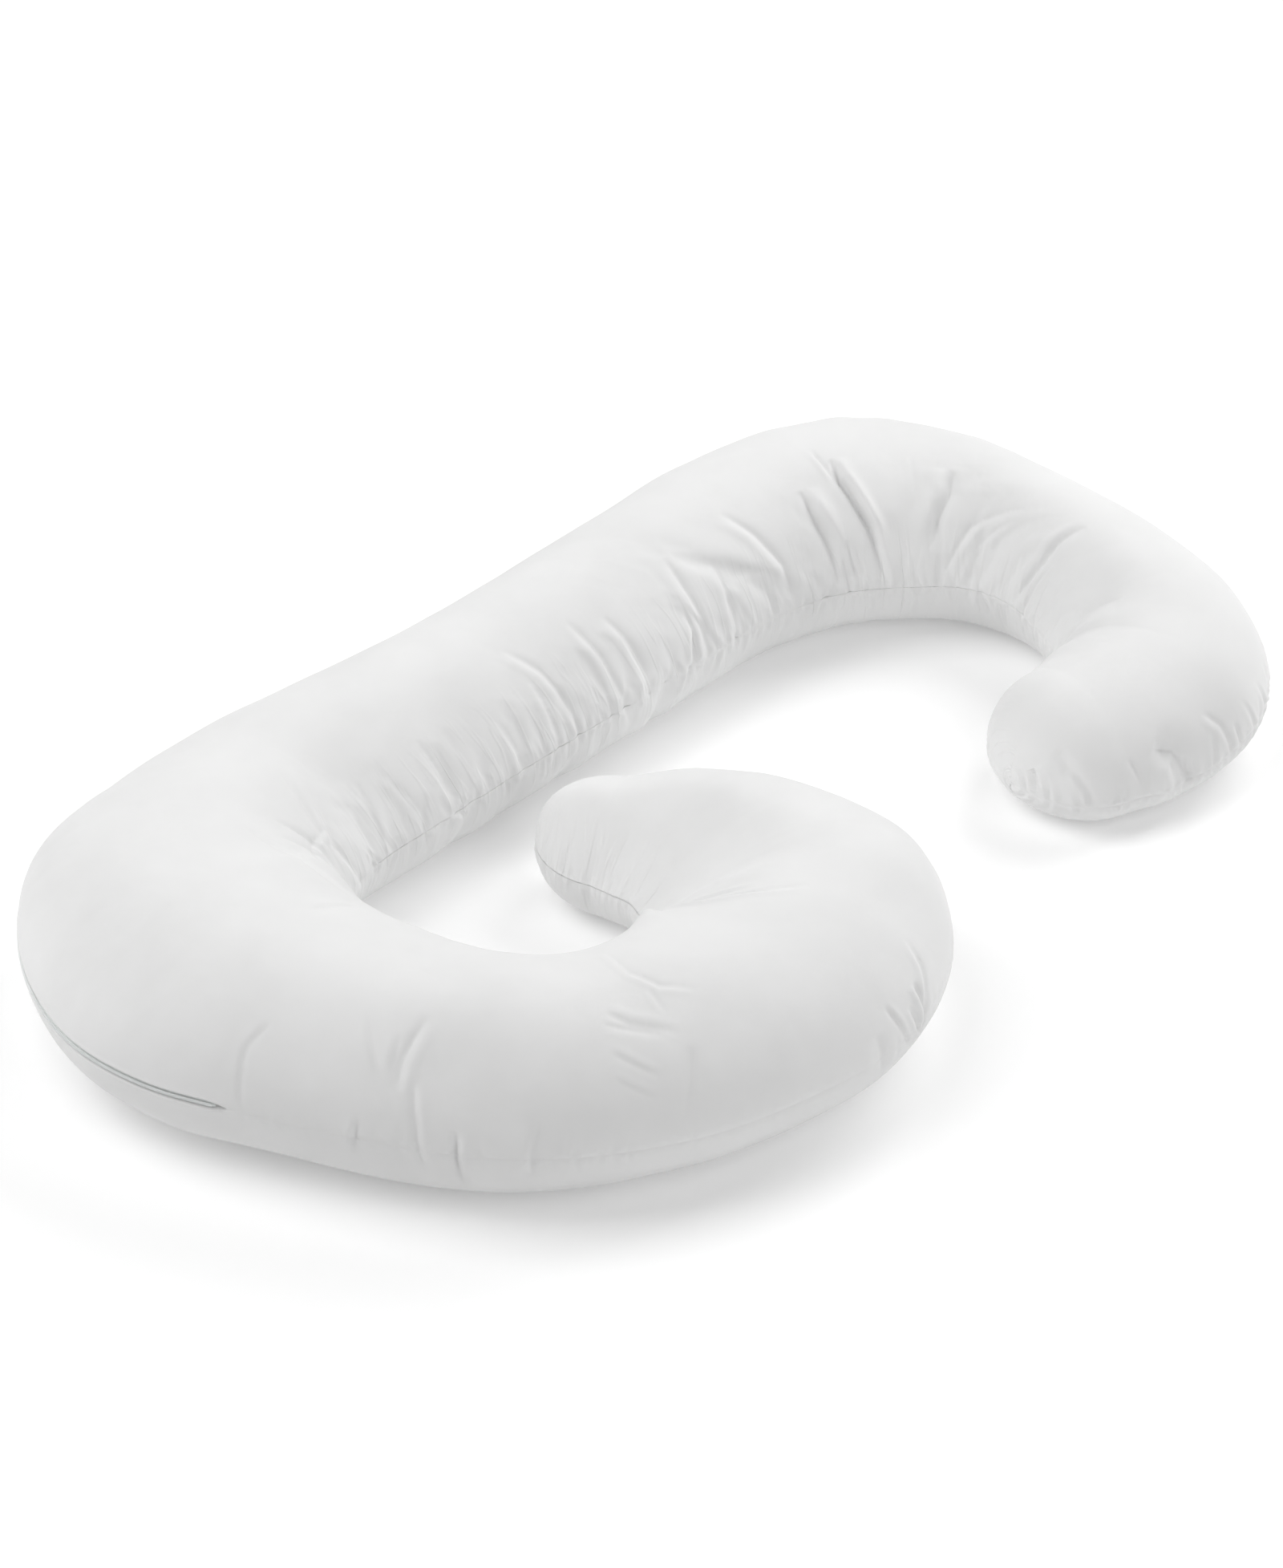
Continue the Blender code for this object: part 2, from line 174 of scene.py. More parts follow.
SEAM_TURNS = (0, 0.5, 1, 1.5, 2.1, 2.8, 3.6, 4.6, 6, 8, 10.5, 13.5)   # degrees from a seam
OVER_TURNS = 68          # columns from there to the crown, and to the middle of the underside
UNDER_TURNS = 16
SIDE_ROUNDING = 2.15
UNDERSIDE_SAG = 1.09
# Where the filling has slumped, the cloth slopes straighter from the crown to the inner seam, and the
# crown lies nearer the outer seam. A power of 1 is a round shoulder, and a shift of 1 is half the width.
SLUMPS = (
    # name,       from_row, to_row, power, shift
    ("near end",   -1.0,     8.5,    2.2,   0.00),
    ("near lobe",   1.0,     4.5,    1.0,   0.25),
    ("far arm",    20.5,    31.0,    1.5,   0.10),
)
SLUMP_BLEND = 1.5            # rows


def seam_points():
    outer, inner = [], []
    for _, outer_x, outer_y, inner_x, inner_y, _, _ in CUTS:
        out = np.array((outer_x, outer_y))
        if inner_x in NOTCHES:
            reach = out - NOTCHES[inner_x]
            inner.append(NOTCHES[inner_x] + NOTCH_RADIUS * reach / np.linalg.norm(reach))
        else:
            inner.append(np.array((inner_x, inner_y)))
        outer.append(out)
    return np.array(outer), np.array(inner)


def smooth_curve(points, places):
    """A curve through the points. It slows down where they crowd, so that it never swings out there."""
    before = np.vstack((2 * points[:1] - points[1:2], points[:-1]))
    after = np.vstack((points[1:], 2 * points[-1:] - points[-2:-1]))
    step_in, step_out = points - before, after - points
    size_in = np.linalg.norm(step_in, axis=1)[:, None]
    size_out = np.linalg.norm(step_out, axis=1)[:, None]
    heading = step_in / size_in * size_out + step_out / size_out * size_in
    heading /= np.linalg.norm(heading, axis=1)[:, None]
    slope = heading * np.minimum(size_in, size_out)
    row = np.clip(np.floor(places).astype(int), 0, len(points) - 2)
    part = (places - row)[:, None]
    return ((2 * part**3 - 3 * part**2 + 1) * points[row] + (part**3 - 2 * part**2 + part) * slope[row]
            + (3 * part**2 - 2 * part**3) * points[row + 1] + (part**3 - part**2) * slope[row + 1])


def tip_rings(outer, inner, length, side):
    """Rings that round off one end, from the pole to the last full ring."""
    middle, half = (outer + inner) / 2, (outer - inner) / 2
    ahead = np.array((half[1], -half[0])) * side / np.linalg.norm(half)
    turn = np.radians(np.linspace(0, 90, TIP_RINGS + 1)[1:-1])[:, None]
    centre = middle + ahead * length * np.cos(turn)
    reach = half * np.sin(turn)
    return centre + reach, centre - reach, np.sin(turn[:, 0]) ** TIP_FULLNESS, middle + ahead * length


outer_cuts, inner_cuts = seam_points()
last_row = len(CUTS) - 1
places = []
for row in range(last_row):
    longer = max(np.linalg.norm(outer_cuts[row + 1] - outer_cuts[row]),
                 np.linalg.norm(inner_cuts[row + 1] - inner_cuts[row]))
    steps = math.ceil(longer / RING_STEP)
    places.extend(row + step / steps for step in range(steps))
places = np.array(places + [last_row], float)
outer_seam, inner_seam = smooth_curve(outer_cuts, places), smooth_curve(inner_cuts, places)
near = tip_rings(outer_seam[0], inner_seam[0], NEAR_TIP_LENGTH, -1)
far = tip_rings(outer_seam[-1], inner_seam[-1], FAR_TIP_LENGTH, 1)
before_near = -np.linspace(1, 0, TIP_RINGS)[:-1]
crown_z = np.interp(places, np.arange(last_row + 1), [cut[5] for cut in CUTS])
seam_z = np.interp(places, np.arange(last_row + 1), [cut[6] for cut in CUTS])
ends = TIP_RINGS - 1
crown_z = np.concatenate((np.full(ends, crown_z[0]), crown_z, np.full(ends, crown_z[-1])))
seam_z = np.concatenate((np.full(ends, seam_z[0]), seam_z, np.full(ends, seam_z[-1])))
fullness = np.concatenate((near[2], np.ones(len(places)), far[2][::-1]))
outer_seam = np.vstack((near[0], outer_seam, far[0][::-1]))
inner_seam = np.vstack((near[1], inner_seam, far[1][::-1]))
poles = np.array((np.append(near[3], seam_z[0]), np.append(far[3], seam_z[-1]))) + TABLE_TO_FRAME
places = np.concatenate((before_near, places, last_row - before_near[::-1]))

over = np.concatenate((SEAM_TURNS, np.linspace(SEAM_TURNS[-1], 90, OVER_TURNS + 1)[1:]))
beneath = np.concatenate((SEAM_TURNS, np.linspace(SEAM_TURNS[-1], 90, UNDER_TURNS + 1)[1:]))
turns = np.concatenate((over, 180 - over[-2::-1], 180 + beneath[1:], 360 - beneath[-2:0:-1]))
lateral, upward = np.cos(np.radians(turns)), np.sin(np.radians(turns))
above = upward >= 0
power = 2 / SIDE_ROUNDING
lateral = np.where(above, lateral, np.sign(lateral) * np.abs(lateral) ** power)
upward = np.where(above, upward, -np.abs(upward) ** power * UNDERSIDE_SAG)
middle, half = (outer_seam + inner_seam) / 2, (outer_seam - inner_seam) / 2
slump, shift = np.ones(len(places)), np.zeros(len(places))
for name, from_row, to_row, full_power, full_shift in SLUMPS:
    share = (np.clip((places - from_row) / SLUMP_BLEND + 1, 0, 1)
             * np.clip((to_row - places) / SLUMP_BLEND + 1, 0, 1))
    share = share * share * (3 - 2 * share)
    slump += (full_power - 1) * share
    shift += full_shift * share
lean_out = np.where(above, upward**2, 0)[None, :] * shift[:, None]
plan = middle[:, None, :] + half[:, None, :] * (lateral[None, :] + lean_out)[..., None]
rise = np.where(above[None, :], (crown_z - seam_z)[:, None], seam_z[:, None])
slumped = np.where((turns > 90) & (turns < 180), np.abs(upward) ** slump[:, None], upward)
height = np.maximum(seam_z[:, None] + rise * slumped * fullness[:, None], 0)
smooth = np.concatenate((plan, height[..., None]), axis=2) + TABLE_TO_FRAME
rings, columns = smooth.shape[:2]


def grid_normals(points):
    along = np.gradient(points, axis=0)
    wrapped = np.concatenate((points[:, -1:], points, points[:, :1]), axis=1)
    around = (wrapped[:, 2:] - wrapped[:, :-2]) / 2
    normals = np.cross(around, along)
    return normals / (np.linalg.norm(normals, axis=2, keepdims=True) + 1e-12)


def grid_faces():
    ring, column = np.meshgrid(np.arange(rings - 1), np.arange(columns), indexing="ij")
    after = (column + 1) % columns
    quads = np.stack((ring * columns + column, (ring + 1) * columns + column,
                      (ring + 1) * columns + after, ring * columns + after), axis=2).reshape(-1, 4)
    faces = [tuple(quad) for quad in quads.tolist()]
    near_pole, far_pole, last = rings * columns, rings * columns + 1, (rings - 1) * columns
    for column in range(columns):
        after = (column + 1) % columns
        faces.append((near_pole, column, after))
        faces.append((far_pole, last + after, last + column))
    return faces


# How far along the cloth each point lies from the crown, and from the nearer seam.
step_around = np.linalg.norm(np.diff(smooth, axis=1, append=smooth[:, :1]), axis=2)
walked = np.concatenate((np.zeros((rings, 1)), np.cumsum(step_around, axis=1)), axis=1)
INNER = int(np.flatnonzero(turns == 180)[0])
CROWN = int(np.flatnonzero(turns == 90)[0])
girth = walked[:, -1:]
from_outer = np.minimum(walked[:, :-1], girth - walked[:, :-1])
from_inner = np.abs(walked[:, :-1] - walked[:, INNER:INNER + 1])
run_outer = np.concatenate(([0], np.cumsum(np.linalg.norm(np.diff(smooth[:, 0], axis=0), axis=1))))
run_inner = np.concatenate(([0], np.cumsum(np.linalg.norm(np.diff(smooth[:, INNER], axis=0), axis=1))))
normals = grid_normals(smooth)

# The cloth is blown up a little over the filling: slack near the inner seam, tight over the crown. What
# it adds to the smooth shape is kept, less the swelling itself.
SKIN_VOXEL = 0.007
SKIN_PRESSURE = 5.0
SKIN_FRAMES = 16
STRETCH_STIFFNESS, SHEAR_STIFFNESS, BEND_STIFFNESS = 15, 5, 0.5
SLACK_AT_SEAM = -0.07
TIGHT_AT_CROWN = 0.01
SLACK_REACH = 60.0           # degrees from the inner seam to where the cloth is tight
PIN_REACH = 0.005            # the seams are sewn down within this much of them
FLOOR_GRIP = 0.3             # how firmly the floor holds the cloth that lies on it
SKIN_CAP = 0.014
WRINKLE_BLUR = (1, 1)        # rings and columns to either side
SWELLING_BLUR = (16, 8)
SWELLING_KEPT = 0.15
WRINKLES_KEPT = (
    # name,        at_row, share
    ("near tip",      0.0,  0.15),
    ("curl",          8.0,  0.20),
    ("band",         11.0,  0.25),
    ("throat",       14.0,  0.35),
    ("big turn",     18.0,  0.45),
    ("spine",        21.0,  0.55),
    ("far bend",     26.0,  0.60),
    ("far side",     30.0,  0.40),
    ("hook",         34.0,  0.30),
)
WRINKLES_ELSEWHERE = 0.12
WRINKLES_REACH = (45.0, 90.0)    # degrees from the inner seam
FLAT_BELOW, FREE_ABOVE = 0.002, 0.020


def blurred(field, ring_reach, column_reach):
    """The field averaged over a window of rings and columns."""
    width = 2 * ring_reach + 1
    padded = np.concatenate((np.repeat(field[:1], ring_reach, axis=0), field,
                             np.repeat(field[-1:], ring_reach, axis=0)))
    total = np.cumsum(np.concatenate((np.zeros_like(padded[:1]), padded)), axis=0)
    field = (total[width:] - total[:-width]) / width
    width = 2 * column_reach + 1
    padded = np.concatenate((field[:, -column_reach:], field, field[:, :column_reach]), axis=1)
    total = np.cumsum(np.concatenate((np.zeros_like(padded[:, :1]), padded), axis=1), axis=1)
    return (total[:, width:] - total[:, :-width]) / width


def inflate():
    """Blows the cloth up, and returns how far it moves each point of the grid."""
    rough = smooth[::3, ::2]
    count, sides = rough.shape[:2]
    faces = []
    for ring in range(count - 1):
        for side in range(sides):
            after = (side + 1) % sides
            faces.append((ring * sides + side, (ring + 1) * sides + side,
                          (ring + 1) * sides + after, ring * sides + after))
    faces.append(tuple(range(sides)))
    faces.append(tuple(range(count * sides - 1, (count - 1) * sides - 1, -1)))
    mesh = bpy.data.meshes.new("skin")
    mesh.from_pydata(rough.reshape(-1, 3).tolist(), [], faces)
    skin = bpy.data.objects.new("skin", mesh)
    bpy.context.scene.collection.objects.link(skin)
    bpy.ops.object.select_all(action="DESELECT")
    skin.select_set(True)
    bpy.context.view_layer.objects.active = skin
    remesh = skin.modifiers.new("even squares", "REMESH")
    remesh.mode = "VOXEL"
    remesh.voxel_size = SKIN_VOXEL
    bpy.ops.object.modifier_apply(modifier=remesh.name)

    rest = np.empty(len(skin.data.vertices) * 3)
    skin.data.vertices.foreach_get("co", rest)
    rest = rest.reshape(-1, 3)
    marks = smooth[::2, ::2].reshape(-1, 3)
    finder = KDTree(len(marks))
    for index, mark in enumerate(marks):
        finder.insert(mark, index)
    finder.balance()
    held = skin.vertex_groups.new(name="held")
    tight = skin.vertex_groups.new(name="tight")
    half_columns = smooth[:, ::2].shape[1]
    for index, point in enumerate(rest):
        mark = finder.find(point)[1]
        ring, column = mark // half_columns * 2, mark % half_columns * 2
        if min(from_outer[ring, column], from_inner[ring, column]) < PIN_REACH:
            held.add([index], 1.0, "REPLACE")
        elif point[2] < FLAT_BELOW:
            held.add([index], FLOOR_GRIP, "REPLACE")
        tightness = min(1, abs(turns[column] - 180) / SLACK_REACH)
        tight.add([index], tightness**2 * (3 - 2 * tightness), "REPLACE")

    cloth = skin.modifiers.new("cloth", "CLOTH")
    fabric = cloth.settings
    fabric.quality = 5
    fabric.tension_stiffness = fabric.compression_stiffness = STRETCH_STIFFNESS
    fabric.shear_stiffness = SHEAR_STIFFNESS
    fabric.bending_stiffness = BEND_STIFFNESS
    fabric.use_pressure = True
    fabric.uniform_pressure_force = SKIN_PRESSURE
    fabric.effector_weights.gravity = 0
    fabric.vertex_group_mass = held.name
    fabric.vertex_group_shrink = tight.name
    fabric.shrink_min, fabric.shrink_max = SLACK_AT_SEAM, TIGHT_AT_CROWN
    cloth.collision_settings.use_collision = False
    cloth.point_cache.frame_start, cloth.point_cache.frame_end = 1, SKIN_FRAMES
    for frame_number in range(1, SKIN_FRAMES + 1):
        bpy.context.scene.frame_set(frame_number)
    bpy.ops.object.modifier_apply(modifier=cloth.name)
    blown = np.empty(len(rest) * 3)
    skin.data.vertices.foreach_get("co", blown)
    move = blown.reshape(-1, 3) - rest

    polygons = [tuple(face.vertices) for face in skin.data.polygons]
    nearest = BVHTree.FromPolygons(rest.tolist(), polygons)
    spots = [Vector(spot) for spot in rest]
    carried = np.zeros((rings * columns, 3))
    for index, point in enumerate(smooth.reshape(-1, 3)):
        place, _, face, _ = nearest.find_nearest(point)
        corners = polygons[face]
        shares = poly_3d_calc([spots[corner] for corner in corners], place)
        carried[index] = sum(share * move[corner] for share, corner in zip(shares, corners))
    bpy.data.objects.remove(skin, do_unlink=True)
    bpy.context.scene.frame_set(1)
    carried = blurred(carried.reshape(rings, columns, 3), *WRINKLE_BLUR)
    carried -= (1 - SWELLING_KEPT) * blurred(carried, *SWELLING_BLUR)
    size = np.linalg.norm(carried, axis=2, keepdims=True)
    return carried * np.minimum(1, SKIN_CAP / (size + 1e-9))


free = np.clip((smooth[..., 2:] - FLAT_BELOW) / (FREE_ABOVE - FLAT_BELOW), 0, 1)
free = free * free * (3 - 2 * free)
points = smooth.copy()
all_kept, none_kept = WRINKLES_REACH
kept = np.clip((none_kept - np.abs(turns - 180)) / (none_kept - all_kept), 0, 1)
at_inner = np.interp(places, [row[1] for row in WRINKLES_KEPT], [row[2] for row in WRINKLES_KEPT])[:, None]
kept = WRINKLES_ELSEWHERE + (at_inner - WRINKLES_ELSEWHERE) * kept * kept * (3 - 2 * kept)
points += inflate() * free * kept[..., None]


# The filling lies unevenly, so the cloth rises and sinks a little.
LUMPS = (
    # name,    size_m, height_mm
    ("broad",  0.200,  3.2),
    ("small",  0.075,  1.1),
)
for name, size, lift in LUMPS:
    wave = np.array([noise.noise(Vector(point) / size) for point in smooth.reshape(-1, 3)])
    points += normals * free * (wave.reshape(rings, columns, 1) * lift / 1000)

# Creases. A place is a row of CUTS, with parts of a row, and an angle across the pillow: 0 is the outer
# seam, 90 the crown, 180 the inner seam, 270 the underside. Lean is the side on which the ridge beside
# the furrow stands higher: 1 towards later rows, -1 towards earlier ones.
CREASES = (
    # name,                       width_mm, depth_mm, lean, places
    ("far bend deep fold",         6.0,  12.0,  -1,
     ((26.23, 103), (26.25, 114), (26.34, 123), (26.48, 138), (26.58, 167))),
    ("far bend fork",              3.2,   3.0,   1, ((26.04, 94), (26.12, 106), (26.18, 115))),
    ("far bend second fold",       8.0,   8.0,  -1,
     ((25.70, 116), (25.77, 128), (25.83, 141), (25.87, 170))),
    ("far bend thin fold 1",       3.5,   2.2,   1, ((26.09, 142), (26.19, 168))),
    ("far bend thin fold 2",       3.5,   2.0,   1, ((25.97, 151), (26.02, 176))),
    ("far bend thin fold 3",       3.5,   1.6,   1, ((26.21, 145), (26.28, 163))),
    ("far bend faint line",        3.5,   1.0,   0, ((27.21, 100), (27.21, 132))),
    ("far bend ridge",             9.0,   6.0,   1,
     ((27.76, 107), (27.71, 120), (27.53, 134), (27.39, 150))),
    ("far bend slanting fold",     5.0,   2.4,  -1,
     ((28.97, 114), (28.11, 135), (27.88, 146), (27.62, 164))),
    ("far bend slanting line",     3.8,   1.6,  -1, ((28.87, 122), (28.18, 148))),
    ("far bend low fold",          5.0,   2.6,   1, ((25.71, 168), (25.59, 186), (25.32, 208))),
    ("far side fold",              5.5,   4.4,   1,
     ((29.81, 103), (29.66, 121), (29.61, 136), (29.48, 154), (29.32, 170))),
    ("far side thin fold",         3.4,   2.2,  -1, ((29.78, 130), (29.68, 150), (29.60, 178))),
    ("far side low fold",          4.2,   2.0,  -1, ((28.48, 181), (28.76, 202))),
    ("hook soft fold",             9.0,   2.0,   1, ((30.91, 141), (31.54, 116))),
    ("spine fold 1",               6.5,   3.6,   1,
     ((24.69, 110), (24.96, 128), (25.16, 146), (25.17, 170))),
    ("spine fold 2",               6.0,   2.8,   1, ((24.38, 131), (24.33, 150), (24.31, 178))),
    ("spine fold 3",               7.5,   3.6,   1, ((23.93, 116), (23.94, 134), (23.98, 158))),
    ("spine fold 4",               4.5,   3.2,   1,
     ((23.82, 136), (23.80, 154), (23.67, 175), (23.56, 194), (23.33, 210))),
    ("spine fold 5",               4.0,   1.8,   1, ((23.84, 140), (23.91, 152), (23.89, 176))),
    ("spine fold 6",               6.5,   2.7,   1, ((23.09, 123), (23.16, 143), (23.15, 183))),
    ("spine fold 7",               5.5,   2.4,   1, ((22.79, 116), (22.84, 140), (22.86, 180))),
    ("spine fold 8",               4.0,   1.6,   1, ((22.72, 145), (22.70, 182))),
    ("spine fold 9",               5.5,   2.3,   1,
     ((22.17, 112), (22.29, 130), (22.35, 158), (22.33, 181))),
    ("spine fold 10",              4.0,   1.6,   1, ((22.16, 130), (22.10, 176))),
    ("spine fold 11",              5.0,   1.5,   1, ((21.68, 138), (21.71, 182))),
    ("spine fold 12",              6.0,   2.0,   1, ((20.97, 128), (20.96, 178))),
    ("spine fold 13",              5.0,   1.6,   1, ((20.57, 134), (20.67, 170))),
    ("spine low dent 1",          15.0,   6.0,   0, ((23.35, 186), (23.32, 226))),
    ("spine low dent 2",          15.0,   5.5,   0, ((22.32, 190), (22.28, 230))),
    ("spine low dent 3",          15.0,   5.5,   0, ((21.14, 188), (21.10, 228))),
    ("throat fold 1",              6.0,   2.0,   1, ((13.86, 140), (14.77, 130), (17.20, 112))),
    ("throat fold 2",              6.0,   2.4,   1, ((14.19, 149), (19.31, 140), (19.72, 107))),
    ("throat fold 3",              6.0,   2.6,  -1, ((19.60, 178), (19.38, 149), (19.67, 128))),
    ("throat fold 4",              5.0,   1.8,   1, ((13.71, 130), (13.86, 106))),
    ("throat fold 5",              5.0,   1.6,   1, ((18.40, 158), (18.20, 122))),
    ("throat fold 6",              5.0,   1.6,   1, ((17.20, 160), (16.90, 126))),
    ("throat fold 7",              5.0,   1.5,   1, ((20.19, 165), (20.32, 131))),
    ("front crease 1",             4.5,   1.3,   1, ((12.97, 48), (13.07, 33), (12.98, 8))),
    ("front crease 2",             5.0,   1.5,   1, ((12.24, 60), (11.89, 35))),
    ("front crease 3",             5.0,   1.5,   1, ((11.89, 55), (11.79, 36))),
    ("front crease 4",             6.5,   3.0,  -1, ((11.74, 66), (11.76, 44), (11.70, 28))),
    ("front crease 5",             5.5,   2.8,  -1, ((11.60, 36), (11.50, 15), (11.44, -6))),
    ("front crease 6",             6.0,   4.6,  -1, ((11.16, 14), (11.15, 0), (11.12, -26))),
    ("front crease 7",             4.5,   2.6,   1, ((11.97, 8), (12.00, -9))),
    ("front crease 8",             7.0,   2.0,   1, ((10.45, 22), (10.52, -6))),
    ("band fold 1",                3.6,   2.0,   1, ((10.18, 106), (9.72, 84), (9.30, 71), (8.82, 65))),
    ("band fold 2",                3.6,   1.2,   1, ((9.46, 72), (9.28, 60))),
    ("band fold 3",                5.5,   2.0,  -1, ((10.00, 68), (9.70, 60), (9.15, 50))),
    ("band fold 4",                4.2,   1.6,  -1, ((10.02, 63), (9.28, 50))),
    ("band fold 5",                3.6,   1.5,  -1, ((9.89, 50), (9.37, 34))),
    ("band fold 6",                3.6,   1.2,  -1, ((9.84, 38), (9.42, 25))),
    ("band fold 7",               11.0,   2.4,   0, ((9.04, 44), (9.08, 30), (9.20, 15))),
    ("curl long fold",             4.4,   8.0,   1,
     ((8.20, 168), (8.10, 154), (8.00, 140), (7.84, 125), (7.55, 113), (7.20, 107), (6.80, 101), (6.07, 83))),
    ("curl long fold, upper",      4.0,   2.6,  -1, ((7.60, 132), (7.25, 119), (6.90, 111), (6.50, 101))),
    ("right end fold 1",           4.5,   2.8,   1, ((6.10, 40), (6.20, 24), (6.33, 12), (6.40, 2))),
    ("right end fold 2",           5.0,   7.0,   1, ((6.45, 24), (6.43, 8), (6.48, -6))),
    ("right end fold 3",           3.6,   3.4,   1, ((6.67, 16), (6.55, -4))),
    ("right end fold 4",           3.6,   2.6,  -1, ((6.97, 26), (6.77, -2))),
    ("right end dent",            10.0,   2.4,   0, ((7.20, 16), (7.16, -3))),
    ("hook tip fold 1",            5.0,   3.0,   1, ((35.12, 20), (35.15, 2))),
    ("hook tip fold 2",            4.0,   2.6,   1, ((34.77, 19), (34.78, 2))),
    ("hook tip fold 3",            4.5,   2.2,   1, ((34.06, 37), (33.81, 24), (33.69, 3))),
    ("hook tip fold 4",            4.0,   2.0,   1, ((33.50, 18), (33.38, 0))),
    ("hook tip fold 5",            4.0,   2.2,   1, ((36.00, 30), (35.81, 10))),
    ("hook tip dent",             18.0,   9.0,   1, ((35.45, 30), (35.00, 24), (34.80, 8))),
    ("hook front fold 1",          5.0,   3.2,   1, ((36.43, 154), (36.17, 142))),
    ("hook front fold 2",          6.0,   3.4,  -1, ((36.77, 48), (36.77, 12))),
    ("hook front fold 3",          4.0,   2.4,   1, ((36.46, 36), (36.36, 6))),
    ("hook front dent",           11.0,   2.6,   0, ((36.50, 54), (36.48, 26))),
    ("curled tip fold 1",          4.0,   2.0,   1, ((-0.57, 161), (-0.49, 130))),
    ("curled tip fold 2",          4.0,   1.8,  -1, ((-0.26, 170), (-0.23, 135))),
)
CREASE_SPOTS = 12            # places worked out between two places of the table
CREASE_WINDOW = 2.5          # rows to either side that a crease can reach
FADE_IN, FADE_OUT = 0.25, 0.30       # shares of a crease over which its ends grow shallow
FADE_POWER = 0.8
FURROW_POWER, FURROW_TIGHTNESS = 1.3, 1.5
RIDGE_OFFSET, RIDGE_SPREAD = 1.5, 1.1        # in widths of the crease
RIDGE_HEIGHT, RIDGE_LEAN = 0.28, 0.24        # in depths of the crease
OTHER_SIDE = 3.0             # widths off the line, past which another fold of the cloth stays untouched
NEAR_SEAM = 9                # degrees within which a crease runs on into the seam


def on_cloth(rows, angles):
    """Points of the cloth at places along the pillow and angles across it."""
    ring = np.clip(np.interp(rows, places, np.arange(rings)), 0, rings - 1.001)
    column = np.interp(np.mod(angles, 360), np.append(turns, 360), np.arange(columns + 1))
    low_ring, low_column = ring.astype(int), column.astype(int) % columns
    part_ring, part_column = (ring - ring.astype(int))[:, None], (column - column.astype(int))[:, None]
    after = (low_column + 1) % columns
    first = points[low_ring, low_column] * (1 - part_column) + points[low_ring, after] * part_column
    second = points[low_ring + 1, low_column] * (1 - part_column) + points[low_ring + 1, after] * part_column
    return first * (1 - part_ring) + second * part_ring


def at_seam(angle):
    return min(angle % 180, 180 - angle % 180) < NEAR_SEAM


def press(width, depth, lean, spots):
    """Presses one crease into the cloth, as a furrow with a ridge beside it."""
    knots = np.arange(len(spots))
    along = np.linspace(0, knots[-1], CREASE_SPOTS * knots[-1] + 1)
    rows = np.interp(along, knots, [spot[0] for spot in spots])
    angles = np.interp(along, knots, [spot[1] for spot in spots])
    line = on_cloth(rows, angles)
    heading = np.gradient(line, axis=0)
    heading /= np.linalg.norm(heading, axis=1, keepdims=True)
    first, last = np.searchsorted(places, (rows.min() - CREASE_WINDOW, rows.max() + CREASE_WINDOW))
    part = slice(max(first, 0), min(last, rings))
    offset = points[part, :, None, :] - line
    index = (offset**2).sum(axis=3).argmin(axis=2)
    offset = np.take_along_axis(offset, index[..., None, None], axis=2)[:, :, 0]
    way = heading[index]
    beyond = (offset * way).sum(axis=2) / width
    aside = (np.cross(way, offset) * normals[part]).sum(axis=2) / width
    height = np.abs((offset * normals[part]).sum(axis=2)) / width
    share = index / (len(line) - 1)
    fade_in = 1 if at_seam(spots[0][1]) else np.clip(share / FADE_IN, 0, 1) ** FADE_POWER
    fade_out = 1 if at_seam(spots[-1][1]) else np.clip((1 - share) / FADE_OUT, 0, 1) ** FADE_POWER
    furrow = np.exp(-FURROW_TIGHTNESS * np.abs(aside) ** FURROW_POWER)
    ridge = np.exp(-((np.abs(aside) - RIDGE_OFFSET) / RIDGE_SPREAD) ** 2)
    ridge *= RIDGE_HEIGHT - RIDGE_LEAN * lean * np.sign(aside)
    reach = np.exp(-beyond**2 - (height / OTHER_SIDE) ** 2) * fade_in * fade_out
    points[part] += normals[part] * (free[part, :, 0] * (ridge - furrow) * reach * depth)[..., None]


for name, width, depth, lean, spots in CREASES:
    press(width / 1000, depth / 1000, lean, spots)

# The seam: a narrow groove in a shallow drawn-in strip, with short puckers across it.
GROOVE = (
    # name,      depth_m, width_m
    ("stitch",   0.0004,  0.0010),
    ("drawn in", 0.0005,  0.0050),
)
PUCKERS = (
    # name,             side,    from_row, to_row, apart_mm, depth_mm, length_mm
    ("curled tip",      "inner",  -0.9,     4.0,    11.0,     1.8,      32.0),
    ("band inside",     "inner",  10.0,    15.0,    13.0,     1.0,      24.0),
    ("spine inside",    "inner",  19.8,    26.6,    10.0,     1.6,      34.0),
    ("far bend inside", "inner",  26.6,    30.5,    13.0,     1.2,      28.0),
    ("hook inside",     "inner",  33.0,    36.9,     9.0,     2.0,      30.0),
    ("curl outside",    "outer",  -0.9,    10.0,    17.0,     0.9,      22.0),
    ("band outside",    "outer",  10.0,    12.9,    19.0,     1.1,      24.0),
    ("turn outside",    "outer",  17.7,    31.0,    18.0,     1.0,      24.0),
    ("hook outside",    "outer",  31.0,    36.9,    12.0,     2.4,      38.0),
)
PUCKER_WIDTH = 0.0032
PUCKER_SLANT = 0.25
PUCKER_STARTS = 0.005        # metres from the seam over which a pucker deepens
PUCKER_AT_SEAM = 0.1         # its share of the depth on the seam itself
PUCKER_FADE = 1.2
RIM_HEIGHT, RIM_OFFSET, RIM_SPREAD = 0.5, 1.7, 0.9      # of the cloth pushed up on both sides of it
dice = np.random.default_rng(11)
sides = {"outer": (run_outer, from_outer), "inner": (run_inner, from_inner)}
